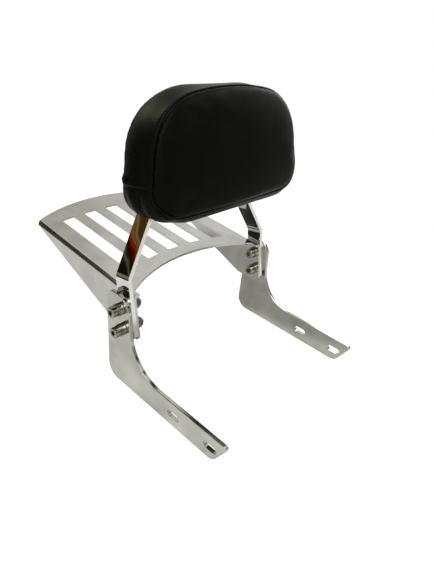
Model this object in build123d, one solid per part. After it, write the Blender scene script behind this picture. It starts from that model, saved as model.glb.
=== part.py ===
from build123d import *
import math
import os

# Sissy bar with luggage rack and backrest pad, in millimetres.
# +X is the bike's left, +Y points to the rear and +Z up. The origin lies on the middle plane,
# midway between the four slots by which the two arms are bolted to the bike.

# Side plates: a level slotted arm that turns up into a short post.
half_width = 129.0
side_plate_t = 5.0
arm_below_slots = 16.5
arm_above_slots = 17.5
arm_slot_pitch = 58.0
arm_slot_length = 19.0
arm_slot_width = 9.0
arm_nose_low = 34.5
arm_nose_high = 53.5
arm_nose_low_r = 14.0
arm_nose_high_r = 4.0
post_rear_y = 151.0
post_front_y = 111.0
post_front_lean = 4.4
post_top_z = 112.0
post_rear_r = 14.0
post_front_r = 22.0
elbow_outer_r = 18.0
elbow_inner_r = 52.0
edge_break = 0.6

# Bolt line through each stack, leaning back with the bar.
lean = 10.0
bolt_y = 124.0
bolt_z = 96.0
bolt_pitch = 26.0
bolt_hole_r = 4.3

# Spacer plate between side plate and bar.
spacer_t = 4.0
spacer_bottom = 36.0
spacer_corner_r = 6.0
spacer_top_drop = 6.0
spacer_top_r = 8.0

# Hoop: one flat bar bent inwards above the rack and across the top.
bar_t = 5.0
bar_width = 23.5
bar_edge_to_bolts = 7.2
bar_foot = 43.5
bar_foot_r = 5.0
bar_bend_height = 32.5
bar_bend_r = 14.0
bar_inward = 30.7
hoop_height = 175.0
hoop_top_r = 22.0

# Luggage rack: one sheet, folded down along both sides.
rack_t = 3.0
rack_fold_inner_r = 2.5
rack_over_washer = 0.5
rack_slope = 3.9
rack_front_mid = 158.8
rack_front_side = 121.0
rack_rear_mid = 363.0
rack_rear_side = 329.0
rack_rear_r = 9.0
rack_slot_count = 5
rack_slot_pitch = 38.0
rack_slot_width = 21.5
rack_slot_front_mid = 178.5
rack_slot_front_side = 165.2
rack_slot_rear_mid = 327.5
rack_slot_rear_side = 319.0
rack_slot_r = 2.0
flange_below_bolt = 45.5
flange_foot_y = 150.0
flange_tip_drop = 6.0
flange_foot_r = 6.0
flange_heel_r = 20.0
sheet_edge_r = 0.5

# Cap screws, their washers and collars, and the domed nuts.
screw_r = 4.0
head_r = 6.5
head_h = 7.2
socket_flats = 6.0
socket_depth = 4.0
spring_washer_r = 7.0
spring_washer_t = 1.6
spring_washer_split = 1.2
washer_r = 7.6
washer_t = 1.2
collar_r = 7.4
collar_length = 4.8
nut_flats = 13.0
nut_hex_h = 4.6
nut_height = 9.5
nut_dome_r = 5.6
nut_bore_depth = 7.0
screw_in_nut = 6.5
ring_clearance = 0.2
thread_clearance = 0.04

# Bracket plate on the hoop's front edges, and the pad that is screwed to it.
bracket_side = 13.0
bracket_height = 62.0
bracket_t = 4.0
bracket_r = 12.0
bracket_below_top = 18.0
pad_washer_to_bar = 1.0
pad_screw_rows = 32.0
pad_screw_r = 3.0
pad_screw_hole_r = 3.4
pad_screw_flats = 10.0
pad_screw_head_h = 4.0
pad_washer_r = 6.2
pad_washer_t = 1.2
insert_r = 4.5
board_t = 10.0
board_inset = 9.0
board_gap = 0.2
pad_below_bracket = 52.4
pad_height = 122.0
pad_half_bottom = 124.5
pad_half_top = 103.5
pad_top_crown = 14.0
pad_bottom_r = 27.0
pad_top_r = 64.0
pad_depth = 50.0
pad_front_crown = 7.0
pad_front_r = 4.0
pad_back_r = 4.0

# Faces of one stack, from the outside in.
spacer_x = half_width - side_plate_t
bar_x = spacer_x - spacer_t
flange_x = bar_x - bar_t
stack_inner_x = flange_x - rack_t
bracket_mid = hoop_height - bracket_below_top
pad_bottom = bracket_mid - pad_below_bracket
rack_fold_r = rack_fold_inner_r + rack_t
rack_above_bolt = washer_r + rack_over_washer + rack_fold_r
arm_top = arm_above_slots
arm_low = -arm_below_slots
lean_sin = math.sin(math.radians(lean))
lean_cos = math.cos(math.radians(lean))

# Plane of the bar: X across, Y up along the lean, Z out to the front, through the upper bolts.
bar_plane = Plane(origin=(0, bolt_y, bolt_z), x_dir=(1, 0, 0), z_dir=(0, -lean_cos, lean_sin))
rack_sin = math.sin(math.radians(rack_slope))
rack_cos = math.cos(math.radians(rack_slope))
rack_z = bolt_z + rack_above_bolt - math.tan(math.radians(rack_slope)) * bolt_y
rack_plane = Plane(origin=(0, 0, rack_z), x_dir=(1, 0, 0), z_dir=(0, -rack_sin, rack_cos))

bolt_spots = {
    "upper": (bolt_y, bolt_z),
    "lower": (bolt_y - bolt_pitch * lean_sin, bolt_z - bolt_pitch * lean_cos),
}
parts = {}


def front_line(z, setback):
    """Y of a line that leans with the bar, this far behind the bar's front edge, at height z."""
    return bolt_y + (z - bolt_z) * lean_sin / lean_cos - (bar_edge_to_bolts - setback) / lean_cos


def outline(corners):
    """A closed face from corners given as (across, up, radius)."""
    points = [(c[0], c[1]) for c in corners]
    return make_face(FilletPolyline(*points, radius=[c[2] for c in corners], close=True))


def across(face, x_low, thickness):
    """A plate whose outline lies in Y and Z, from x_low towards +X."""
    return extrude(Plane.YZ.offset(x_low) * face, amount=thickness)


def bore(spot, radius, x_low, x_high):
    """A cylinder along X through one bolt spot."""
    return across(Pos(spot[0], spot[1]) * Circle(radius), x_low, x_high - x_low)


def ring(spot, outer_r, inner_r, x_low, x_high):
    face = Circle(outer_r) - Circle(inner_r)
    return across(Pos(spot[0], spot[1]) * face, x_low, x_high - x_low)


def hexagon(flats):
    return RegularPolygon(radius=flats / math.sqrt(3), side_count=6)


def arc_band(front_side, front_mid, rear_mid, rear_side, half):
    """Face between a front arc and a rear arc that both bow to the rear."""
    front = ThreePointArc((-half, front_side), (0, front_mid), (half, front_side))
    rear = ThreePointArc((half, rear_side), (0, rear_mid), (-half, rear_side))
    left = Line((half, front_side), (half, rear_side))
    right = Line((-half, rear_side), (-half, front_side))
    return make_face(front + left + rear + right)


# Side plates
lean_back = math.tan(math.radians(post_front_lean))
inner_corner_y = post_front_y - (post_top_z - arm_top) * lean_back
side_face = outline([
    (-arm_nose_low, arm_low, arm_nose_low_r),
    (post_rear_y, arm_low, elbow_outer_r),
    (post_rear_y, post_top_z, post_rear_r),
    (post_front_y, post_top_z, post_front_r),
    (inner_corner_y, arm_top, elbow_inner_r),
    (-arm_nose_high, arm_top, arm_nose_high_r),
])
arm_slots = Sketch() + [
    Pos(y, 0) * SlotOverall(arm_slot_length, arm_slot_width)
    for y in (-arm_slot_pitch / 2, arm_slot_pitch / 2)
]
side_face = side_face - arm_slots
for spot in bolt_spots.values():
    side_face = side_face - Pos(*spot) * Circle(bolt_hole_r)
for side, x_low in (("right", -half_width), ("left", spacer_x)):
    plate = across(side_face, x_low, side_plate_t)
    rims = plate.faces().sort_by(Axis.X)
    outer_edges = rims[0].outer_wire().edges() + rims[-1].outer_wire().edges()
    parts["side_plate_" + side] = chamfer(outer_edges, edge_break)

# Spacer plates, a little lower than the post and with the bar's leaning front edge
spacer_low = bolt_z - spacer_bottom
spacer_top = post_top_z - spacer_top_drop
spacer_face = outline([
    (front_line(spacer_low, 0), spacer_low, spacer_corner_r),
    (post_rear_y, spacer_low, spacer_corner_r),
    (post_rear_y, spacer_top, post_rear_r),
    (front_line(spacer_top, 0), spacer_top, spacer_top_r),
])
for spot in bolt_spots.values():
    spacer_face = spacer_face - Pos(*spot) * Circle(bolt_hole_r)
for side, x_low in (("right", -spacer_x), ("left", bar_x)):
    parts["spacer_plate_" + side] = across(spacer_face, x_low, spacer_t)

# Hoop
leg_x = bar_x - bar_t / 2
bar_front = bar_edge_to_bolts
hoop_corner_x = leg_x - (hoop_height - bar_bend_height) * math.tan(math.radians(bar_inward))
hoop_path = FilletPolyline(
    (-leg_x, -bar_foot),
    (-leg_x, bar_bend_height),
    (-hoop_corner_x, hoop_height),
    (hoop_corner_x, hoop_height),
    (leg_x, bar_bend_height),
    (leg_x, -bar_foot),
    radius=[bar_bend_r, hoop_top_r, hoop_top_r, bar_bend_r],
)
bar_section = Plane(origin=(-leg_x, -bar_foot, 0), x_dir=(1, 0, 0), z_dir=(0, 1, 0))
hoop_line = bar_plane * hoop_path
section_plane = bar_plane * bar_section
bar_middle = bar_front - bar_width / 2
hoop = sweep(section_plane * Pos(0, -bar_middle) * Rectangle(bar_t, bar_width), path=hoop_line)
feet = [e for e in hoop.edges().filter_by(Axis.X) if bar_plane.to_local_coords(e.center()).Y < 1 - bar_foot]
hoop = fillet(feet, bar_foot_r)
for spot in bolt_spots.values():
    hoop = hoop - bore(spot, bolt_hole_r, -half_width, half_width)
parts["hoop"] = hoop

# Luggage rack
fold_low = bolt_z - flange_below_bolt
rack_depth = rack_above_bolt + flange_below_bolt + rack_rear_mid * rack_sin + rack_t
fold_plane = Plane(
    origin=(0, 0, rack_z),
    x_dir=(1, 0, 0),
    z_dir=(0, rack_cos, rack_sin),
)
outer_fold = outline([
    (-flange_x, 0, rack_fold_r),
    (flange_x, 0, rack_fold_r),
    (flange_x, rack_depth, sheet_edge_r),
    (-flange_x, rack_depth, sheet_edge_r),
])
inner_fold = outline([
    (-stack_inner_x, rack_t, rack_fold_inner_r),
    (stack_inner_x, rack_t, rack_fold_inner_r),
    (stack_inner_x, rack_depth + rack_t, sheet_edge_r),
    (-stack_inner_x, rack_depth + rack_t, sheet_edge_r),
])
folded = extrude(fold_plane * (outer_fold - inner_fold), amount=rack_rear_mid + rack_depth)
tip_z = rack_z + rack_rear_side * rack_sin - flange_tip_drop
roof_z = rack_z + rack_rear_mid * rack_sin + rack_t
rear_end = rack_rear_mid + rack_t
flange_face = outline([
    (front_line(fold_low, 0), fold_low, flange_foot_r),
    (flange_foot_y, fold_low, flange_heel_r),
    (rack_rear_side, tip_z, sheet_edge_r),
    (rear_end, tip_z, sheet_edge_r),
    (rear_end, roof_z, sheet_edge_r),
    (front_line(roof_z, 0), roof_z, sheet_edge_r),
])
plan_half = flange_x + rack_t
plan_face = arc_band(rack_front_side, rack_front_mid, rack_rear_mid, rack_rear_side, plan_half)
rear_corners = plan_face.vertices().sort_by(Axis.Y)[-2:]
plan_face = fillet(rear_corners, rack_rear_r)
cheek_front = front_line(fold_low, 0) - rack_t
cheek_mid = (cheek_front + rack_front_mid) / 2
cheek_inner_x = stack_inner_x - rack_fold_inner_r - rack_t
for x in (-1, 1):
    cheek = Rectangle(plan_half - cheek_inner_x, rack_front_mid - cheek_front)
    plan_face = plan_face + Pos(x * (plan_half + cheek_inner_x) / 2, cheek_mid) * cheek
plan_block = extrude(rack_plane * plan_face, amount=rack_depth, both=True)
slot_band = arc_band(
    rack_slot_front_side,
    rack_slot_front_mid,
    rack_slot_rear_mid,
    rack_slot_rear_side,
    rack_slot_pitch * (rack_slot_count - 1) / 2 + rack_slot_width / 2,
)
band_mid = (rack_slot_front_mid + rack_slot_rear_mid) / 2
rows = Pos(0, band_mid) * GridLocations(rack_slot_pitch, 0, rack_slot_count, 1)
strips = Sketch() + [place * Rectangle(rack_slot_width, rack_rear_mid) for place in rows]
slots = slot_band & strips
slots = fillet(slots.vertices(), rack_slot_r)
rack = folded & across(flange_face, -half_width, 2 * half_width)
rack = rack & plan_block
rack = rack - extrude(rack_plane * slots, amount=rack_t * 2, both=True)
for spot in bolt_spots.values():
    rack = rack - bore(spot, bolt_hole_r, -half_width, half_width)
parts["luggage_rack"] = rack


# Screwed joints: in each stack the heads face -X and the domed nuts +X
def cap_screw(spot, head_x, tip_x):
    body = bore(spot, head_r, head_x - head_h, head_x)
    rim = body.edges().filter_by(GeomType.CIRCLE).sort_by(Axis.X)[0]
    body = chamfer(rim, edge_break)
    socket = Pos(spot[0], spot[1]) * hexagon(socket_flats)
    body = body - across(socket, head_x - head_h, socket_depth)
    return body + bore(spot, screw_r, head_x, tip_x)


def split_ring(spot, x_low, x_high):
    body = ring(spot, spring_washer_r, screw_r + ring_clearance, x_low, x_high)
    cut = Pos(spot[0], spot[1] - spring_washer_r) * Rectangle(spring_washer_split, 2 * spring_washer_r)
    return body - across(cut, x_low, x_high - x_low)


def domed_nut(spot, x_low):
    body = across(Pos(spot[0], spot[1]) * hexagon(nut_flats), x_low, nut_hex_h)
    dome_x = x_low + nut_height - nut_dome_r
    body = body + bore(spot, nut_dome_r, x_low, dome_x)
    dome = Pos(dome_x, spot[0], spot[1]) * Sphere(nut_dome_r)
    body = body + (dome & bore(spot, nut_dome_r, dome_x, dome_x + nut_dome_r))
    return body - bore(spot, screw_r + thread_clearance, x_low, x_low + nut_bore_depth)


for side, seat_low, seat_high in (
    ("right", -half_width, -stack_inner_x),
    ("left", stack_inner_x, half_width),
):
    for level, spot in bolt_spots.items():
        end = "_" + level + "_" + side
        hole_r = screw_r + ring_clearance
        collar_x = seat_low - collar_length
        washer_x = collar_x - washer_t
        head_x = washer_x - spring_washer_t
        collar = ring(spot, collar_r, hole_r, collar_x, seat_low)
        parts["collar" + end] = chamfer(
            collar.edges().filter_by(GeomType.CIRCLE).sort_by(SortBy.RADIUS)[-2:], edge_break
        )
        parts["head_washer" + end] = ring(spot, washer_r, hole_r, washer_x, collar_x)
        parts["spring_washer" + end] = split_ring(spot, head_x, washer_x)
        nut_x = seat_high + washer_t
        parts["cap_screw" + end] = cap_screw(spot, head_x, nut_x + screw_in_nut)
        parts["nut_washer" + end] = ring(spot, washer_r, hole_r, seat_high, nut_x)
        parts["domed_nut" + end] = domed_nut(spot, nut_x)

# Pad bracket and the pad in front of it, drawn in the plane of the bar
inward = math.radians(bar_inward)
low_washers = bracket_mid - pad_screw_rows / 2 - pad_washer_r
bar_out_x = leg_x - (low_washers - bar_bend_height) * math.tan(inward) + bar_t / 2 / math.cos(inward)
pad_screw_x = bar_out_x + pad_washer_to_bar + pad_washer_r
bracket_width = 2 * (pad_screw_x + bracket_side)
screw_places = [
    Pos(x, bracket_mid + y)
    for x in (-pad_screw_x, pad_screw_x)
    for y in (-pad_screw_rows / 2, pad_screw_rows / 2)
]


def off_bar(face, start, thickness):
    """A solid from a face in the bar's plane, starting this far in front of the bolts."""
    return extrude(bar_plane * (Pos(0, 0, start) * face), amount=thickness)


bracket_face = Pos(0, bracket_mid) * RectangleRounded(bracket_width, bracket_height, bracket_r)
for place in screw_places:
    bracket_face = bracket_face - place * Circle(pad_screw_hole_r)
parts["pad_bracket"] = off_bar(bracket_face, bar_front, bracket_t)

pad_back = bar_front + bracket_t
pad_top = pad_bottom + pad_height
pad_shoulder = pad_top - pad_top_crown
pad_edge = Polyline(
    (-pad_half_top, pad_shoulder),
    (-pad_half_bottom, pad_bottom),
    (pad_half_bottom, pad_bottom),
    (pad_half_top, pad_shoulder),
)
pad_crown = ThreePointArc((pad_half_top, pad_shoulder), (0, pad_top), (-pad_half_top, pad_shoulder))
pad_face = make_face(pad_edge + pad_crown)
pad_corners = pad_face.vertices().sort_by(Axis.Y)
pad_face = fillet(pad_corners[:2], pad_bottom_r)
pad_corners = [v for v in pad_face.vertices() if abs(v.Y - pad_shoulder) < 0.01]
pad_face = fillet(pad_corners, pad_top_r)
board_face = offset(pad_face, -board_inset)
pocket_face = offset(pad_face, board_gap - board_inset)

cushion = off_bar(pad_face, pad_back, pad_depth + pad_front_crown)
crown_r = (pad_half_bottom**2 + pad_front_crown**2) / (2 * pad_front_crown)
crown_mid = Pos(0, (pad_bottom + pad_top) / 2, pad_back + pad_depth + pad_front_crown - crown_r)
cushion = cushion & (bar_plane.location * crown_mid * Sphere(crown_r))
pad_middle = pad_back + pad_depth / 2
front_rim = [e for e in cushion.edges() if bar_plane.to_local_coords(e.center()).Z > pad_middle]
front_rim = [e for e in front_rim if bar_plane.to_local_coords(e.position_at(0)).Z > pad_middle]
front_rim = [e for e in front_rim if bar_plane.to_local_coords(e.position_at(1)).Z > pad_middle]
cushion = fillet(front_rim, pad_front_r)
back_rim = cushion.faces().sort_by(Axis((0, 0, 0), bar_plane.z_dir))[0]
cushion = fillet(back_rim.outer_wire().edges(), pad_back_r)
parts["pad_cushion"] = cushion - off_bar(pocket_face, pad_back, board_t + board_gap)

for place in screw_places:
    board_face = board_face - place * Circle(insert_r)
parts["pad_board"] = off_bar(board_face, pad_back, board_t)
for number, place in enumerate(screw_places, 1):
    end = "_" + str(number)
    insert = place * Circle(insert_r) - place * Circle(pad_screw_r + thread_clearance)
    parts["pad_insert" + end] = off_bar(insert, pad_back, board_t)
    under = bar_front - pad_washer_t
    washer = place * Circle(pad_washer_r) - place * Circle(pad_screw_r + ring_clearance)
    parts["pad_washer" + end] = off_bar(washer, under, pad_washer_t)
    head = off_bar(place * hexagon(pad_screw_flats), under - pad_screw_head_h, pad_screw_head_h)
    shank = off_bar(place * Circle(pad_screw_r), under, pad_washer_t + bracket_t + board_t)
    parts["pad_screw" + end] = head + shank

os.makedirs("parts", exist_ok=True)
for name, shape in parts.items():
    solids = shape.solids()
    print(name, len(solids), round(sum(s.volume for s in solids)))
    export_step(shape if len(solids) > 1 else solids[0], os.path.join("parts", name + ".step"))
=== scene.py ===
import bpy
import bmesh
import math
from mathutils import Matrix, Vector, kdtree
from mathutils.bvhtree import BVHTree


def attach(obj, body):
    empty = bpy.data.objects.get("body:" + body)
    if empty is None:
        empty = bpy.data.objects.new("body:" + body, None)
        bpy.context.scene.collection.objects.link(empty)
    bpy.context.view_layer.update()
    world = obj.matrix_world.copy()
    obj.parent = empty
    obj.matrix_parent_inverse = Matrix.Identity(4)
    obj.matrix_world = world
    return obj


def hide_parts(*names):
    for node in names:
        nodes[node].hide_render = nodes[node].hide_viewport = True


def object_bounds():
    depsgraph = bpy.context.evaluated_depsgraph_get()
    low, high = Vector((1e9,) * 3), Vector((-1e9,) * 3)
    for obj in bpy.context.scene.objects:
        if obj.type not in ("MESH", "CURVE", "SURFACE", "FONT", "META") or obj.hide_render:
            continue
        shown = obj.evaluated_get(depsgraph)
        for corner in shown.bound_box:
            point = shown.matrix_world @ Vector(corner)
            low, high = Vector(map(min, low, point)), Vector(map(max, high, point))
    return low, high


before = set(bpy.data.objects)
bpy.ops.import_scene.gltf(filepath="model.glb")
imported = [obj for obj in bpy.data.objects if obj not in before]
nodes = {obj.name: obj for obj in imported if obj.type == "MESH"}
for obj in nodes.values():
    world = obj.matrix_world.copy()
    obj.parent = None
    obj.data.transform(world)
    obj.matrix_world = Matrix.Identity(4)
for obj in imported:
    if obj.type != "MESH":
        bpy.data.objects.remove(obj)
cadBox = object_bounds()
scene = bpy.context.scene
mm = 0.001
print("frame loaded:", len(nodes), "CAD nodes")


def inMetres(sizes):
    return [size * mm for size in sizes]


def perMetre(size):
    # texture scale for a pattern this many mm across
    return 1000.0 / size


def tone(hexCode):
    # sRGB hex to linear colour
    parts = [int(hexCode[i:i + 2], 16) / 255 for i in (1, 3, 5)]
    return [c / 12.92 if c <= 0.04045 else ((c + 0.055) / 1.055) ** 2.4 for c in parts] + [1.0]


def addNode(tree, kind, inputs=None, **settings):
    node = tree.nodes.new(kind)
    for name, value in settings.items():
        setattr(node, name, value)
    for socket, value in (inputs or {}).items():
        if isinstance(value, bpy.types.NodeSocket):
            tree.links.new(value, node.inputs[socket])
        else:
            node.inputs[socket].default_value = value
    return node


def newMaterial(name):
    material = bpy.data.materials.new(name)
    material.use_nodes = True
    tree = material.node_tree
    shader = tree.nodes["Principled BSDF"]
    place = addNode(tree, "ShaderNodeTexCoord").outputs["Object"]
    return material, tree, shader, place


def addToScene(name, data):
    piece = bpy.data.objects.new(name, data)
    scene.collection.objects.link(piece)
    return piece


# Camera, where the photograph was taken from
look = {
    "place": (-381.6, -224.8, 392.8), "turn": (58.36, -5.715, -46.496),  # mm and degrees
    "lens": 28.147, "sensor": 36, "nearest": 10,
}
cameraData = bpy.data.cameras.new("productCamera")
cameraData.sensor_width = look["sensor"]
cameraData.lens = look["lens"]
cameraData.clip_start = look["nearest"] * mm
camera = addToScene("productCamera", cameraData)
camera.location = inMetres(look["place"])
camera.rotation_euler = [math.radians(a) for a in look["turn"]]
scene.camera = camera
scene.view_settings.view_transform = "Standard"

# Studio: white sweep, soft boxes, and patches of tone in the air that only reflections show
studio = {
    "floorTone": "#d8d8d6", "floorGlow": 0.72, "floorShine": 0.36, "floorRough": 0.9, "floorGloss": 0.1,
    "floorSize": 640, "floorMiddle": (0, 100), "floorSides": 96,
    # painted shadow on the ground under the object, between its arms, seen only in reflections
    "paintedShadowTone": "#77746d", "paintedShadowMiddle": (0, 150), "paintedShadowReach": (122, 260), "paintedShadowEdge": (1.12, 0.88),
    "ambient": 0.55, "airShine": 1.0, "airLow": "#ececea", "airHigh": "#f6f6f4",
    "ripple": 0.006, "rippleScale": 22.0, "rippleDetail": 2.0, "rippleSpan": (0.2, 0.8),
    "flags": [  # towards a direction, degrees of reach and soft edge, one tone or tones along a grade
        {"towards": (0.75, -0.66, 0.0), "reach": 28, "soft": 14, "tone": "#9b9b95"},
        {"towards": (0.53, -0.81, -0.24), "reach": 6, "soft": 2, "tone": "#f6f2e8"},
        {"towards": (0.757, -0.615, -0.22), "reach": 5.5, "soft": 2, "tone": "#ffffff"},
        {"towards": (0.30, 0.87, 0.38), "reach": 8, "soft": 16, "tone": "#c2c1b8"},
        {"towards": (0.35, 0.90, -0.25), "reach": 18, "soft": 10, "tone": "#1b1c16"},
        {"towards": (-0.58, 0.78, -0.2), "reach": 15, "soft": 8, "tone": "#14150f"},
        {"towards": (-0.24, 0.80, 0.55), "reach": 19, "soft": 4, "grade": (0, 0, 1),
         "tones": [(0.3, "#2c2917"), (0.75, "#3d3a26")]},
        {"towards": (-0.56, 0.81, 0.14), "reach": 19, "soft": 5, "grade": (-1.003, -0.334, 2.113),
         "tones": [(0.02, "#12120c"), (0.08, "#6f6c58"), (0.49, "#7a7762"), (0.515, "#0e0e06"),
                   (0.594, "#14140b"), (0.608, "#545645"), (0.622, "#201d12"), (0.635, "#170a04"),
                   (0.648, "#420b05"), (0.660, "#80220a"), (0.668, "#671f08"), (0.676, "#7a582f"),
                   (0.690, "#5a401a"), (0.705, "#7d6d47"), (0.718, "#523717"), (0.735, "#452e11")]},
        {"towards": (0.53, 0.30, 0.79), "reach": 7, "soft": 1.5, "tone": "#0c0b09"},
        {"towards": (0.49, -0.35, 0.80), "reach": 4, "soft": 1.5, "tone": "#0f0e0b"},
        {"towards": (0.49, -0.78, 0.40), "reach": 4, "soft": 1.5, "tone": "#14120e"},
        {"towards": (-0.12, 0.35, 0.93), "reach": 8, "soft": 5, "tone": "#1c2a26"},
        {"towards": (-0.75, 0.50, 0.43), "reach": 9, "soft": 6, "tone": "#23241a"},
    ],
    "aim": (0, 120, 120),
    "lamps": [  # the last two light the pad's cover and piping alone
        {"name": "keyBox", "place": (-700, -500, 1300), "size": 900, "power": 11, "tone": "#ffffff"},
        {"name": "sideBox", "place": (1100, 100, 700), "size": 700, "power": 4, "tone": "#ffffff"},
        {"name": "padBox", "place": (-140, 1120, 900), "size": 450, "power": 3.3, "tone": "#eaf0bc",
         "lights": "pad"},
        {"name": "rimBox", "place": (740, -400, 880), "size": 450, "power": 2.8, "tone": "#f4f2e2",
         "lights": "pad"},
    ],
}
floorZ = cadBox[0][2]
world = bpy.data.worlds.new("studioAir")
scene.world = world
world.use_nodes = True
tree = world.node_tree
tree.nodes.clear()
direction = addNode(tree, "ShaderNodeTexCoord").outputs["Generated"]
height = addNode(tree, "ShaderNodeSeparateXYZ", {"Vector": direction}).outputs["Z"]
ripple = addNode(tree, "ShaderNodeTexNoise", {
    "Vector": direction, "Scale": studio["rippleScale"], "Detail": studio["rippleDetail"],
}).outputs["Fac"]
wobble = addNode(tree, "ShaderNodeMapRange", {
    "Value": ripple, "From Min": studio["rippleSpan"][0], "From Max": studio["rippleSpan"][1],
    "To Min": -studio["ripple"], "To Max": studio["ripple"],
}).outputs["Result"]
colour = addNode(tree, "ShaderNodeMix", {
    0: height, 6: tone(studio["airLow"]), 7: tone(studio["airHigh"]),
}, data_type="RGBA").outputs[2]
for flag in studio["flags"]:
    facing = addNode(tree, "ShaderNodeVectorMath", {
        0: direction, 1: Vector(flag["towards"]).normalized(),
    }, operation="DOT_PRODUCT").outputs["Value"]
    share = addNode(tree, "ShaderNodeMapRange", {
        "Value": facing, "From Min": math.cos(math.radians(flag["reach"] + flag["soft"])),
        "From Max": math.cos(math.radians(flag["reach"])), "To Min": 0.0, "To Max": 1.0,
    }, interpolation_type="SMOOTHSTEP").outputs["Result"]
    if "tone" in flag:
        drape = tone(flag["tone"])
    else:
        along = addNode(tree, "ShaderNodeVectorMath", {
            0: direction, 1: flag["grade"],
        }, operation="DOT_PRODUCT").outputs["Value"]
        along = addNode(tree, "ShaderNodeMath", {0: along, 1: wobble}, operation="ADD").outputs[0]
        ramp = addNode(tree, "ShaderNodeValToRGB", {"Fac": along})
        stops = ramp.color_ramp.elements
        while len(stops) > 1:
            stops.remove(stops[-1])
        stops[0].position, stops[0].color = flag["tones"][0][0], tone(flag["tones"][0][1])
        for at, hexCode in flag["tones"][1:]:
            stops.new(at).color = tone(hexCode)
        drape = ramp.outputs["Color"]
    colour = addNode(tree, "ShaderNodeMix", {0: share, 6: colour, 7: drape}, data_type="RGBA").outputs[2]
# the camera sees white, reflections see the toned air, and all else gets the plain ambient level
rays = addNode(tree, "ShaderNodeLightPath")
seen = addNode(tree, "ShaderNodeMix", {
    0: rays.outputs["Is Camera Ray"], 6: colour, 7: (1, 1, 1, 1),
}, data_type="RGBA").outputs[2]
bright = addNode(tree, "ShaderNodeMath", {
    0: rays.outputs["Is Camera Ray"], 1: rays.outputs["Is Glossy Ray"],
}, operation="MAXIMUM").outputs[0]
level = addNode(tree, "ShaderNodeMapRange", {
    "Value": bright, "To Min": studio["ambient"], "To Max": studio["airShine"],
}).outputs["Result"]
level = addNode(tree, "ShaderNodeMath", {
    0: level, 1: rays.outputs["Is Camera Ray"],
}, operation="MAXIMUM").outputs[0]
glow = addNode(tree, "ShaderNodeBackground", {"Color": seen, "Strength": level})
addNode(tree, "ShaderNodeOutputWorld", {"Surface": glow.outputs[0]})

padLit = bpy.data.collections.new("padLit")
for lamp in studio["lamps"]:
    data = bpy.data.lights.new(lamp["name"], "AREA")
    data.size = lamp["size"] * mm
    data.energy = lamp["power"]
    data.color = tone(lamp["tone"])[:3]
    light = addToScene(lamp["name"], data)
    light.location = inMetres(lamp["place"])
    aim = Vector(inMetres(studio["aim"])) - light.location
    light.rotation_euler = aim.to_track_quat("-Z", "Y").to_euler()
    if lamp.get("lights") == "pad":
        light.light_linking.receiver_collection = padLit

sweep = bmesh.new()
bmesh.ops.create_circle(
    sweep, cap_ends=True, segments=studio["floorSides"], radius=studio["floorSize"] * mm,
)
bmesh.ops.translate(sweep, verts=sweep.verts, vec=inMetres(studio["floorMiddle"]) + [floorZ])
floorMesh = bpy.data.meshes.new("studioFloor")
sweep.to_mesh(floorMesh)
sweep.free()
floor = addToScene("studioFloor", floorMesh)
paper, tree, shader, place = newMaterial("whitePaperSweep")
shader.inputs["Roughness"].default_value = studio["floorRough"]
shader.inputs["Specular IOR Level"].default_value = studio["floorGloss"]
rays = addNode(tree, "ShaderNodeLightPath")
# painted shadow: the ground under the object, between its arms, is painted darker for reflections only, so
# polished metal shows it darker there
under = addNode(tree, "ShaderNodeVectorMath", {
    0: place, 1: [-v * mm for v in studio["paintedShadowMiddle"]] + [-floorZ],
}, operation="ADD").outputs["Vector"]
under = addNode(tree, "ShaderNodeVectorMath", {
    0: under, 1: [perMetre(v) for v in studio["paintedShadowReach"]] + [0],
}, operation="MULTIPLY").outputs["Vector"]
under = addNode(tree, "ShaderNodeVectorMath", {0: under}, operation="LENGTH").outputs["Value"]
under = addNode(tree, "ShaderNodeMapRange", {
    "Value": under, "From Min": studio["paintedShadowEdge"][0], "From Max": studio["paintedShadowEdge"][1],
}, interpolation_type="SMOOTHSTEP").outputs["Result"]
under = addNode(tree, "ShaderNodeMath", {
    0: under, 1: rays.outputs["Is Glossy Ray"],
}, operation="MULTIPLY").outputs[0]
floorWithPaintedShadow = addNode(tree, "ShaderNodeMix", {
    0: under, 6: tone(studio["floorTone"]), 7: tone(studio["paintedShadowTone"]),
}, data_type="RGBA").outputs[2]
tree.links.new(floorWithPaintedShadow, shader.inputs["Base Color"])
shine = addNode(tree, "ShaderNodeMath", {
    0: rays.outputs["Is Glossy Ray"], 1: studio["floorShine"],
}, operation="MULTIPLY").outputs[0]
lift = addNode(tree, "ShaderNodeMath", {
    0: rays.outputs["Is Camera Ray"], 1: studio["floorGlow"], 2: shine,
}, operation="MULTIPLY_ADD").outputs[0]
shader.inputs["Emission Color"].default_value = (1, 1, 1, 1)
tree.links.new(lift, shader.inputs["Emission Strength"])
floorMesh.materials.append(paper)
print("studio set")

# Buffed stainless and chrome plate: pale warm grey, soft cloudy reflections, faint buffing lines
buffing = {
    "cloudDetail": 3.0, "cloudGrit": 0.55, "cloudSpan": (0.32, 0.68),
    "waveDetail": 1.0, "waveRise": 0.1, "lineDetail": 2.0, "lineRise": 0.2, "edgeSamples": 4,
}


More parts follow.
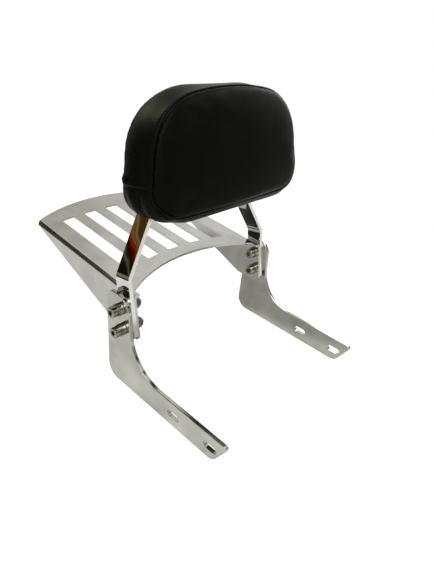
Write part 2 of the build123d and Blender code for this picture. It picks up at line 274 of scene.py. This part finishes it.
def buffedMetal(name, finish):
    material, tree, shader, place = newMaterial(name)
    clouds = addNode(tree, "ShaderNodeTexNoise", {
        "Vector": place, "Scale": perMetre(finish["cloud"]),
        "Detail": buffing["cloudDetail"], "Roughness": buffing["cloudGrit"],
    }).outputs["Fac"]
    clouds = addNode(tree, "ShaderNodeMapRange", {
        "Value": clouds, "From Min": buffing["cloudSpan"][0], "From Max": buffing["cloudSpan"][1],
    }).outputs["Result"]
    shade = addNode(tree, "ShaderNodeMix", {
        0: clouds, 6: tone(finish["low"]), 7: tone(finish["high"]),
    }, data_type="RGBA").outputs[2]
    rough = addNode(tree, "ShaderNodeMapRange", {
        "Value": clouds, "To Min": finish["rough"][0], "To Max": finish["rough"][1],
    }).outputs["Result"]
    stretch = addNode(tree, "ShaderNodeMapping", {
        "Vector": place, "Scale": [perMetre(s) for s in finish["line"]],
    }).outputs["Vector"]
    lines = addNode(tree, "ShaderNodeTexNoise", {
        "Vector": stretch, "Scale": 1.0, "Detail": buffing["lineDetail"],
    }).outputs["Fac"]
    waves = addNode(tree, "ShaderNodeTexNoise", {
        "Vector": place, "Scale": perMetre(finish["wave"]), "Detail": buffing["waveDetail"],
    }).outputs["Fac"]
    edges = addNode(tree, "ShaderNodeBevel", {
        "Radius": finish["edge"] * mm,
    }, samples=buffing["edgeSamples"]).outputs["Normal"]
    swell = addNode(tree, "ShaderNodeBump", {
        "Height": waves, "Strength": finish["waveDepth"],
        "Distance": finish["wave"] * buffing["waveRise"] * mm, "Normal": edges,
    }).outputs["Normal"]
    ridge = addNode(tree, "ShaderNodeBump", {
        "Height": lines, "Strength": finish["lineDepth"], "Distance": buffing["lineRise"] * mm, "Normal": swell,
    }).outputs["Normal"]
    shader.inputs["Metallic"].default_value = 1.0
    tree.links.new(shade, shader.inputs["Base Color"])
    tree.links.new(rough, shader.inputs["Roughness"])
    tree.links.new(ridge, shader.inputs["Normal"])
    return material


# Buffing lines run along each piece; they are drawn at 1.5 mm because finer ones don't show
plateFinish = {
    "low": "#a7a79d", "high": "#c8c7be", "cloud": 60, "line": (1.5, 60, 1.5), "rough": (0.12, 0.22),
    "wave": 70, "waveDepth": 0.25, "lineDepth": 0.1, "edge": 0.6,
}
sheetFinish = {
    "low": "#b9b7b1", "high": "#ceccc7", "cloud": 45, "line": (60, 1.5, 1.5), "rough": (0.13, 0.22),
    "wave": 90, "waveDepth": 0.15, "lineDepth": 0.08, "edge": 0.5,
}
barFinish = {
    "low": "#d6d5d0", "high": "#e6e5e0", "cloud": 80, "line": (1.5, 1.5, 60), "rough": (0.015, 0.03),
    "wave": 50, "waveDepth": 0.1, "lineDepth": 0.01, "edge": 0.4,
}
screwFinish = {
    "low": "#6b675a", "high": "#b0ac9f", "cloud": 6, "line": (6, 1.5, 1.5), "rough": (0.08, 0.16),
    "wave": 12, "waveDepth": 0.1, "lineDepth": 0.06, "edge": 0.4,
}
plateSteel = buffedMetal("buffedStainlessPlate", plateFinish)
sheetSteel = buffedMetal("buffedStainlessSheet", sheetFinish)
barChrome = buffedMetal("chromePlatedBar", barFinish)
screwSteel = buffedMetal("turnedStainlessScrew", screwFinish)


# Fine even grain: orange peel in black powder coat, matt moulded plastic, tool marks on brass
def fineGrain(name, finish):
    material, tree, shader, place = newMaterial(name)
    peel = addNode(tree, "ShaderNodeTexNoise", {
        "Vector": place, "Scale": perMetre(finish["peel"]), "Detail": 2.0,
    }).outputs["Fac"]
    bump = addNode(tree, "ShaderNodeBump", {
        "Height": peel, "Strength": finish["peelDepth"], "Distance": finish["peelRise"] * mm,
    }).outputs["Normal"]
    shade = addNode(tree, "ShaderNodeMix", {
        0: peel, 6: tone(finish["low"]), 7: tone(finish["high"]),
    }, data_type="RGBA").outputs[2]
    tree.links.new(shade, shader.inputs["Base Color"])
    tree.links.new(bump, shader.inputs["Normal"])
    shader.inputs["Roughness"].default_value = finish["rough"]
    shader.inputs["Metallic"].default_value = finish["metal"]
    return material


bracketFinish = {
    "low": "#0b0b0b", "high": "#151515", "rough": 0.42, "metal": 0.0,
    "peel": 1.6, "peelDepth": 0.2, "peelRise": 0.2,
}
boardFinish = {
    "low": "#0d0d0d", "high": "#191919", "rough": 0.55, "metal": 0.0,
    "peel": 0.9, "peelDepth": 0.2, "peelRise": 0.2,
}
insertFinish = {
    "low": "#8f6f2e", "high": "#b08a3c", "rough": 0.3, "metal": 1.0,
    "peel": 1.2, "peelDepth": 0.2, "peelRise": 0.2,
}
bracketCoat = fineGrain("blackPowderCoat", bracketFinish)
boardPlastic = fineGrain("mouldedBlackPlastic", boardFinish)
insertBrass = fineGrain("turnedBrass", insertFinish)


# Vinyl leathercloth: black with pebbled grain and a soft sheen
def vinylCover(name, finish):
    material, tree, shader, place = newMaterial(name)
    pebbles = addNode(tree, "ShaderNodeTexVoronoi", {
        "Vector": place, "Scale": perMetre(finish["grain"]),
    }, feature="DISTANCE_TO_EDGE").outputs["Distance"]
    creases = addNode(tree, "ShaderNodeMapRange", {
        "Value": pebbles, "From Min": 0.0, "From Max": finish["crease"],
    }, interpolation_type="SMOOTHSTEP").outputs["Result"]
    patches = addNode(tree, "ShaderNodeTexNoise", {
        "Vector": place, "Scale": perMetre(finish["patch"]), "Detail": finish["patchDetail"],
    }).outputs["Fac"]
    shade = addNode(tree, "ShaderNodeMix", {
        0: patches, 6: tone(finish["low"]), 7: tone(finish["high"]),
    }, data_type="RGBA").outputs[2]
    rough = addNode(tree, "ShaderNodeMapRange", {
        "Value": patches, "From Min": finish["patchSpan"][0], "From Max": finish["patchSpan"][1],
        "To Min": finish["rough"][0], "To Max": finish["rough"][1],
    }).outputs["Result"]
    bump = addNode(tree, "ShaderNodeBump", {
        "Height": creases, "Strength": finish["grainDepth"], "Distance": finish["grainRise"] * mm,
    }).outputs["Normal"]
    tree.links.new(shade, shader.inputs["Base Color"])
    tree.links.new(rough, shader.inputs["Roughness"])
    tree.links.new(bump, shader.inputs["Normal"])
    shader.inputs["Specular IOR Level"].default_value = finish["gloss"]
    shader.inputs["Specular Tint"].default_value = tone(finish["glossTone"])
    return material


coverFinish = {
    "low": "#060706", "high": "#0b0c09", "rough": (0.28, 0.37), "gloss": 0.045, "glossTone": "#edf4c8",
    "grain": 1.4, "crease": 0.18, "grainDepth": 0.3, "grainRise": 0.15,
    "patch": 40, "patchDetail": 4.0, "patchSpan": (0.3, 0.7),
}
coverVinyl = vinylCover("blackVinylLeathercloth", coverFinish)

finishes = {
    "side_plate": plateSteel, "spacer_plate": plateSteel, "hoop": barChrome, "luggage_rack": sheetSteel,
    "pad_bracket": bracketCoat, "pad_board": boardPlastic, "pad_insert": insertBrass,
}
for name, piece in nodes.items():
    match = [finish for start, finish in finishes.items() if name.startswith(start)]
    piece.data.materials.clear()
    piece.data.materials.append(match[0] if match else screwSteel)
print("finishes on the CAD nodes")

# Backrest pad: cover swollen over its foam by cloth pressure, sewn along the front seam.
# It is worked in the leaning bar's frame: across, up along the bar, and forwards. Sizes in mm.
pad = {
    "lean": 10.0, "boltY": 124.0, "boltZ": 96.0, "back": 11.2, "seam": 58.6, "bottom": 104.6,
    "weld": 0.01, "voxel": 3.0, "even": 2, "start": 0.6,
    "seamStep": 2.0, "seamEven": 2, "cornerIn": {"near": 5.5, "far": -2.0}, "cornerWay": (0.75, 0.66),
    "cornerSide": (60, 100), "cornerLow": (10, 50),
    "pinBack": 5.0, "pinSeam": 2.5, "pocket": 11.0, "facesBack": -0.5,
    "crown": [(-90, 0.0), (-40, 4.0), (0, 4.8), (30, 2.4), (65, 2.4), (90, 2.8)],  # degrees from the side, mm
    "crownBack": 0.7, "crownSharp": 1.5, "shoulder": 3.2, "shoulderAt": 48.0, "shoulderWide": 22.0,
    "sag": 13.0, "sagAhead": 3, "sagLess": 0.6, "sagLessAt": (62, 100),
    "rim": 3.0, "rimWide": 5.0, "rimTurn": 0.6, "rimTopLess": 0.8,
    "bandFrom": 2.0, "bandShort": 3.0, "bandEven": 4,
    "frames": 20, "cap": 6.0, "slack": 14.0, "easing": 7, "seamBeside": 6.0, "seamEasing": 2, "finer": 1,
}
swellSettings = {
    "quality": 6, "mass": 0.3, "tension_stiffness": 60, "compression_stiffness": 60, "shear_stiffness": 30,
    "bending_stiffness": 5, "tension_damping": 15, "bending_damping": 2, "air_damping": 3,
    "use_pressure": True, "uniform_pressure_force": 4.0, "vertex_group_mass": "pinned",
}
lean = math.radians(pad["lean"])
barFrame = Matrix((
    (1, 0, 0, 0),
    (0, math.sin(lean), -math.cos(lean), pad["boltY"] * mm),
    (0, math.cos(lean), math.sin(lean), pad["boltZ"] * mm),
    (0, 0, 0, 1),
))


def asMesh(piece):
    graph = bpy.context.evaluated_depsgraph_get()
    return bpy.data.meshes.new_from_object(piece.evaluated_get(graph))


def swap(piece, mesh):
    piece.modifiers.clear()
    piece.data = mesh


def relax(shell, points, passes):
    for _ in range(passes):
        bmesh.ops.smooth_vert(
            shell, verts=points, factor=0.5, use_axis_x=True, use_axis_y=True, use_axis_z=True,
        )


def smoothShaded(mesh):
    for face in mesh.polygons:
        face.use_smooth = True


def ringAt(mesh, depth):
    # outer loop of the pad where it is cut at this depth, in order round the pad
    cut = bmesh.new()
    cut.from_mesh(mesh)
    found = bmesh.ops.bisect_plane(
        cut, geom=cut.verts[:] + cut.edges[:] + cut.faces[:], plane_co=(0, 0, depth * mm), plane_no=(0, 0, 1),
    )["geom_cut"]
    edges = [e for e in found if isinstance(e, bmesh.types.BMEdge)]
    neighbours = {}
    for edge in edges:
        a, b = edge.verts
        neighbours.setdefault(a, []).append(b)
        neighbours.setdefault(b, []).append(a)
    first = max(neighbours, key=lambda v: v.co.x)
    loop = [first]
    before, here = None, first
    while True:
        ahead = [v for v in neighbours[here] if v is not before]
        if not ahead or ahead[0] is first:
            break
        before, here = here, ahead[0]
        loop.append(here)
    points = [v.co.copy() for v in loop]
    cut.free()
    return points


def evenLoop(points, step, passes):
    # same loop with even steps, smoothed a little
    lengths = [0.0]
    closed = points + [points[0]]
    for a, b in zip(closed, closed[1:]):
        lengths.append(lengths[-1] + (b - a).length)
    count = round(lengths[-1] / (step * mm))
    tiny = 1e-9
    even, i = [], 0
    for k in range(count):
        target = lengths[-1] * k / count
        while lengths[i + 1] < target:
            i += 1
        part = (target - lengths[i]) / max(tiny, lengths[i + 1] - lengths[i])
        even.append(closed[i].lerp(closed[i + 1], part))
    for _ in range(passes):
        even = [(even[k - 1] + even[k] * 2 + even[(k + 1) % count]) / 4 for k in range(count)]
    return even


def pointTree(points):
    found = kdtree.KDTree(len(points))
    for k, point in enumerate(points):
        found.insert(point, k)
    found.balance()
    return found


def skin(mesh):
    shell = bmesh.new()
    shell.from_mesh(mesh)
    found = BVHTree.FromBMesh(shell)
    shell.free()
    return found


def ease(value, low, high):
    part = max(0.0, min(1.0, (value - low) / (high - low)))
    return part * part * (3 - 2 * part)


def bell(value, middle, wide):
    return math.exp(-(((value - middle) / wide) ** 2))


def numberAt(steps, place):
    # value between the two steps that lie either side of this place
    for (low, start), (high, end) in zip(steps, steps[1:]):
        if place <= high:
            return start + (end - start) * max(0.0, place - low) / (high - low)
    return steps[-1][1]


foam = bmesh.new()
foam.from_mesh(nodes["pad_cushion"].data)
bmesh.ops.remove_doubles(foam, verts=foam.verts, dist=pad["weld"] * mm)
bmesh.ops.transform(foam, matrix=barFrame.inverted(), verts=foam.verts)
coverMesh = bpy.data.meshes.new("padCover")
foam.to_mesh(coverMesh)
foam.free()
cover = addToScene("padCover", coverMesh)
remesh = cover.modifiers.new("voxels", "REMESH")
remesh.mode = "VOXEL"
remesh.voxel_size = pad["voxel"] * mm
swap(cover, asMesh(cover))
shell = bmesh.new()
shell.from_mesh(cover.data)
relax(shell, shell.verts, pad["even"])
shell.to_mesh(cover.data)
shell.free()
print("pad remeshed:", len(cover.data.vertices), "vertices")

# the seam rounds the lower corners further in than the cushion does
surface = skin(cover.data)
seamLoop = []
for point in evenLoop(ringAt(cover.data, pad["seam"]), pad["seamStep"], pad["seamEven"]):
    low = pad["bottom"] + pad["cornerLow"][1] - point.y / mm
    corner = ease(abs(point.x) / mm, *pad["cornerSide"]) * ease(low, *pad["cornerLow"])
    pulled = pad["cornerIn"]["near" if point.x < 0 else "far"]
    inwards = Vector((-math.copysign(pad["cornerWay"][0], point.x), pad["cornerWay"][1], 0))
    seamLoop.append(surface.find_nearest(point + inwards * corner * pulled * mm)[0])
seamNear = pointTree(seamLoop)

# a little smaller before it swells and its band crowned, apart from its flat back and the seam
pinned = cover.vertex_groups.new(name="pinned")
held = set()
shrunk = bmesh.new()
shrunk.from_mesh(cover.data)
shrunk.verts.ensure_lookup_table()
fromSeam = [seamNear.find(v.co)[2] / mm for v in shrunk.verts]
middle = sum((v.co for v in shrunk.verts), Vector()) / len(shrunk.verts)
bandDepth = pad["seam"] - pad["back"]
for vertex, apart in zip(shrunk.verts, fromSeam):
    deep = vertex.co.z / mm - pad["back"]
    side = Vector((vertex.normal.x, vertex.normal.y, 0))
    inPocket = deep < pad["pocket"] and side.dot(vertex.co - middle) < 0
    onBack = inPocket or vertex.normal.z < pad["facesBack"]
    if onBack or deep < pad["pinBack"] or apart < pad["pinSeam"]:
        pinned.add([vertex.index], 1.0, "REPLACE")
        held.add(vertex.index)
    else:
        vertex.co -= vertex.normal * pad["start"] * mm
    if onBack:
        continue
    if 0 < deep < bandDepth:
        # the band crowns behind its middle, and sags below the seam at the bottom
        tilt = math.degrees(math.atan2(side.y, abs(side.x)))
        fullness = numberAt(pad["crown"], tilt)
        shoulder = bell(abs(vertex.co.x) / mm, pad["shoulderAt"], pad["shoulderWide"])
        fullness += pad["shoulder"] * shoulder * max(0.0, side.y)
        fullness *= math.sin(math.pi * (deep / bandDepth) ** pad["crownBack"]) ** pad["crownSharp"]
        nearSide = ease(-vertex.co.x / mm, *pad["sagLessAt"])
        sag = pad["sag"] * max(0.0, -side.y) * (1 - pad["sagLess"] * nearSide)
        fullness += sag * math.sin(math.pi * (deep / bandDepth) ** pad["sagAhead"])
        vertex.co += side * fullness * mm
    elif deep >= bandDepth:
        # the front panel bulges past the seam, least along the bottom and the top
        ahead = apart / pad["rimWide"]
        lowLess = max(0.0, -side.y) * ease(pad["rimTurn"] - side.x, 0.0, pad["rimTurn"])
        topLess = pad["rimTopLess"] * max(0.0, side.y)
        rim = pad["rim"] * (1 - lowLess) * (1 - topLess)
        vertex.co += side * rim * ahead * math.exp(1 - ahead) * mm
bandEnd = bandDepth - pad["bandShort"]
band = [v for v in shrunk.verts if pad["bandFrom"] < v.co.z / mm - pad["back"] < bandEnd]
relax(shrunk, band, pad["bandEven"])
shrunk.to_mesh(cover.data)
shrunk.free()
startAt = [v.co.copy() for v in cover.data.vertices]
cloth = cover.modifiers.new("swell", "CLOTH")
for name, value in swellSettings.items():
    setattr(cloth.settings, name, value)
cloth.settings.effector_weights.gravity = 0
cloth.collision_settings.use_collision = False
cloth.point_cache.frame_start = 1
cloth.point_cache.frame_end = pad["frames"]
for number in range(1, pad["frames"] + 1):
    scene.frame_set(number)
swap(cover, asMesh(cover))
most = 0.0
for vertex, start, apart in zip(cover.data.vertices, startAt, fromSeam):
    move = vertex.co - start
    most = max(most, move.length)
    # the panel swells to the front and the band to the sides
    move = Vector((0, 0, move.z)) if start.z > pad["seam"] * mm else Vector((move.x, move.y, 0))
    limit = pad["cap"] * mm * (1 - math.exp(-apart / pad["slack"]))
    if move.length > limit:
        move *= limit / move.length
    vertex.co = start + move
eased = bmesh.new()
eased.from_mesh(cover.data)
loose = [v for v in eased.verts if v.index not in held]
relax(eased, loose, pad["easing"])
alongSeam = [v for v, apart in zip(eased.verts, fromSeam) if apart < pad["seamBeside"]]
relax(eased, alongSeam, pad["seamEasing"])
eased.to_mesh(cover.data)
eased.free()
print("pad swollen: largest move", round(most / mm, 1), "mm")
finer = cover.modifiers.new("finer", "SUBSURF")
finer.levels = pad["finer"]
finer.render_levels = pad["finer"]
swap(cover, asMesh(cover))

# Sewn detail: front seam pulled in, cross seams on the sides, tucks in the wrap under them
sewing = {
    "step": 1.5, "even": (6, 8), "groove": 1.9, "grooveWide": 2.4, "sideOnly": 1.6, "backClear": 3.0,
    "lump": 7.5, "lumpUp": 41.0, "lumpDeep": 15.0, "lumpHigh": 4.0, "lumpWide": 6.0,
    "crossSeam": 34.5, "crossFrom": 60, "crossIn": 1.1, "crossWide": 1.6,
    "lip": 0.7, "lipUp": 3.0, "lipWide": 1.4,
    "fold": 1.6, "foldGrows": 10.0, "foldLeast": 0.45, "foldSpan": 100.0,
    "tucks": [(21.0, 3.0), (43.0, 3.0)], "rolls": [(32.0, 5.0, 0.7), (51.0, 3.5, 0.42)],  # depth, width, height
}
surface = skin(cover.data)
seamLoop = evenLoop(seamLoop, sewing["step"], sewing["even"][0])
seamLoop = evenLoop([surface.find_nearest(p)[0] for p in seamLoop], sewing["step"], sewing["even"][1])
seamNear = pointTree(seamLoop)
sewn = bmesh.new()
sewn.from_mesh(cover.data)
moves = {}
for vertex in sewn.verts:
    u, v, w = vertex.co / mm
    apart = seamNear.find(vertex.co)[2] / mm
    push = -sewing["groove"] * bell(apart, 0.0, sewing["grooveWide"])
    sideFacing = max(0.0, 1.0 - abs(vertex.normal.z) * sewing["sideOnly"])
    low = v - pad["bottom"]
    if w > pad["back"] + sewing["backClear"]:
        lump = bell(low, sewing["lumpUp"], sewing["lumpHigh"]) * bell(w, sewing["lumpDeep"], sewing["lumpWide"])
        push += sewing["lump"] * lump * sideFacing
        if abs(u) > sewing["crossFrom"]:
            push -= sewing["crossIn"] * bell(low, sewing["crossSeam"], sewing["crossWide"]) * sideFacing
            lipAt = sewing["crossSeam"] + sewing["lipUp"]
            push += sewing["lip"] * bell(low, lipAt, sewing["lipWide"]) * sideFacing
        below = max(0.0, min(1.0, (sewing["crossSeam"] - low) / sewing["foldGrows"])) * sideFacing
        tucks = sum(bell(w, at, wide) for at, wide in sewing["tucks"])
        rolls = sum(high * bell(w, at, wide) for at, wide, high in sewing["rolls"])
        outwards = min(1.0, abs(u) / sewing["foldSpan"])
        strength = sewing["foldLeast"] + (1 - sewing["foldLeast"]) * outwards
        push += below * sewing["fold"] * (rolls - tucks) * strength
    moves[vertex] = vertex.normal * push * mm
for vertex, move in moves.items():
    vertex.co += move
bmesh.ops.transform(sewn, matrix=barFrame, verts=sewn.verts)
sewn.to_mesh(cover.data)
sewn.free()
smoothShaded(cover.data)
cover.data.materials.append(coverVinyl)
padLit.objects.link(cover)
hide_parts("pad_cushion")
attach(cover, "root")
print("pad sewn:", len(cover.data.polygons), "faces")

# Piping in the front seam
pipingSize = {"radius": 1.1, "rounding": 3}
line = bpy.data.curves.new("seamPiping", "CURVE")
line.dimensions = "3D"
line.bevel_depth = pipingSize["radius"] * mm
line.bevel_resolution = pipingSize["rounding"]
spline = line.splines.new("POLY")
spline.points.add(len(seamLoop) - 1)
for spot, point in zip(spline.points, seamLoop):
    spot.co = (barFrame @ point).to_4d()
spline.use_cyclic_u = True
piping = addToScene("seamPiping", line)
pipingMesh = asMesh(piping)
bpy.data.objects.remove(piping)
piping = addToScene("seamPiping", pipingMesh)
smoothShaded(pipingMesh)
pipingMesh.materials.append(coverVinyl)
padLit.objects.link(piping)
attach(piping, "root")
print("piping laid")

scene.frame_set(1)
